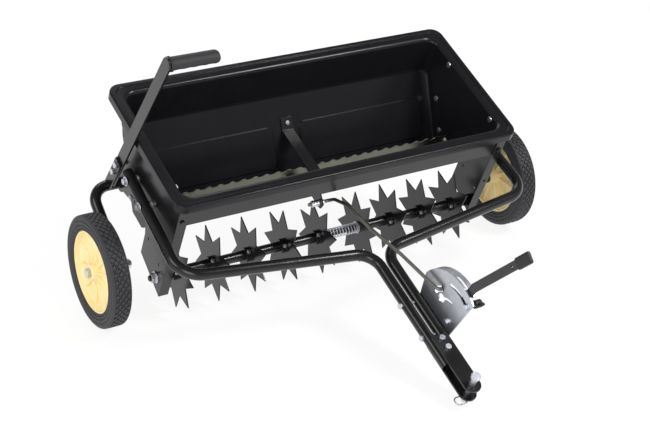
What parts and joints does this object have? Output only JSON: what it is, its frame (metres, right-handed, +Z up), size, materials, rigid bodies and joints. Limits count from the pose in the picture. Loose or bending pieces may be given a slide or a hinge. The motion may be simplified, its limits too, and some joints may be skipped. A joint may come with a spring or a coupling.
{
  "type": "tow behind aerator",
  "caption": "Towed spike aerator with a black drop hopper, star spikes on a split axle, drawbar with flow lever, lift handle and ribbed yellow wheels.",
  "frame": {"origin": "on the floor under the middle of the plan outline", "axes": "+X to the right seen from the drawbar end, +Y to the rear, +Z up; the machine stands on its wheels and hitch pin, nose down"},
  "size_m": [1.1524, 0.916, 0.6622],
  "materials": {
    "hopper_plastic": "gloss black",
    "black_paint": "satin black",
    "zinc": "zinc plated",
    "black_plastic": "matt black",
    "nylon": "natural",
    "grip_rubber": "matt dark grey",
    "hub_plastic": "gloss yellow",
    "tyre_rubber": "matt black"
  },
  "bodies": {
    "frame": {"hopper_tub": "hopper_plastic", "front_panel": "black_paint", "side_plate_left": "black_paint", "side_plate_right": "black_paint", "hopper_brace": "black_paint", "hopper_bolts": "zinc", "agitator_bushes": "nylon", "shutter_rails": "black_paint", "drawbar_tube_left": "black_paint", "drawbar_tube_right": "black_paint", "drawbar_bolts": "zinc", "tongue_bolts": "zinc", "hitch_plate_upper": "black_paint", "hitch_plate_lower": "black_paint", "hitch_bolts": "zinc", "quadrant_plate": "zinc", "quadrant_bolts": "zinc", "stop_knob": "black_plastic", "axle_bracket_left": "black_paint", "axle_bracket_right": "black_paint", "spike_axle": "zinc", "axle_nuts": "zinc", "shaft_bushes": "black_plastic", "centre_spring": "zinc", "spring_washers": "zinc"},
    "agitator": {"agitator_strip": "zinc"},
    "shutter": {"shutter_plate": "zinc", "shutter_arm": "black_paint", "control_rod": "zinc", "rod_nuts": "zinc"},
    "lever": {"control_lever": "black_paint", "lever_grip": "black_plastic"},
    "lift": {"lift_axle": "black_paint", "lift_handle": "black_paint", "handle_grip": "grip_rubber", "handle_bolts": "zinc", "wheel_bolts": "zinc"},
    "wheel_left": {"hub_left": "hub_plastic", "tyre_left": "tyre_rubber"},
    "wheel_right": {"hub_right": "hub_plastic", "tyre_right": "tyre_rubber"},
    "spikes_left": {"spike_tube_left": "black_paint", "spike_bushes_left": "nylon", "star_bolts_left": "zinc", "star_1": "black_paint", "star_2": "black_paint", "star_3": "black_paint", "star_4": "black_paint", "star_5": "black_paint"},
    "spikes_right": {"spike_tube_right": "black_paint", "spike_bushes_right": "nylon", "star_bolts_right": "zinc", "star_6": "black_paint", "star_7": "black_paint", "star_8": "black_paint", "star_9": "black_paint"},
    "hitch_pin": {"hitch_pin": "zinc"},
    "hair_pin": {"hair_pin": "zinc"}
  },
  "joints": [
    {"name": "agitator_slide", "type": "slide", "parent": "frame", "child": "agitator", "axis": [1, 0, 0], "range_m": [-0.005, 0.005]},
    {"name": "lever_pivot", "type": "hinge", "parent": "frame", "child": "lever", "pos_m": [0.0365, -0.22872, 0.11946], "axis": [1, 0, 0], "range_deg": [-18, 0]},
    {"name": "shutter_slide", "type": "slide", "parent": "frame", "child": "shutter", "axis": [0, 0.8589, -0.5121], "range_m": [0, 0.0226]},
    {"name": "lift_pivot", "type": "hinge", "parent": "frame", "child": "lift", "pos_m": [0, 0.42026, 0.24442], "axis": [1, 0, 0], "range_deg": [-20, 0]},
    {"name": "wheel_left_spin", "type": "hinge", "parent": "lift", "child": "wheel_left", "pos_m": [-0.5457, 0.26914, 0.127], "axis": [1, 0, 0], "continuous": true},
    {"name": "wheel_right_spin", "type": "hinge", "parent": "lift", "child": "wheel_right", "pos_m": [0.5457, 0.26914, 0.127], "axis": [1, 0, 0], "continuous": true},
    {"name": "spikes_left_spin", "type": "hinge", "parent": "frame", "child": "spikes_left", "pos_m": [-0.207, 0.22841, 0.10187], "axis": [1, 0, 0], "continuous": true},
    {"name": "spikes_right_spin", "type": "hinge", "parent": "frame", "child": "spikes_right", "pos_m": [0.253, 0.22841, 0.10187], "axis": [1, 0, 0], "continuous": true},
    {"name": "hitch_pin_turn", "type": "hinge", "parent": "frame", "child": "hitch_pin", "pos_m": [0, -0.36294, 0.04058], "axis": [0, -0.3556, 0.9346], "continuous": true},
    {"name": "hair_pin_slide", "type": "slide", "parent": "hitch_pin", "child": "hair_pin", "axis": [-1, 0, 0], "range_m": [0, 0.04]}
  ],
  "couplings": [
    {"joint": "shutter_slide", "follows": "lever_pivot", "m_per_rad": -0.071704}
  ]
}
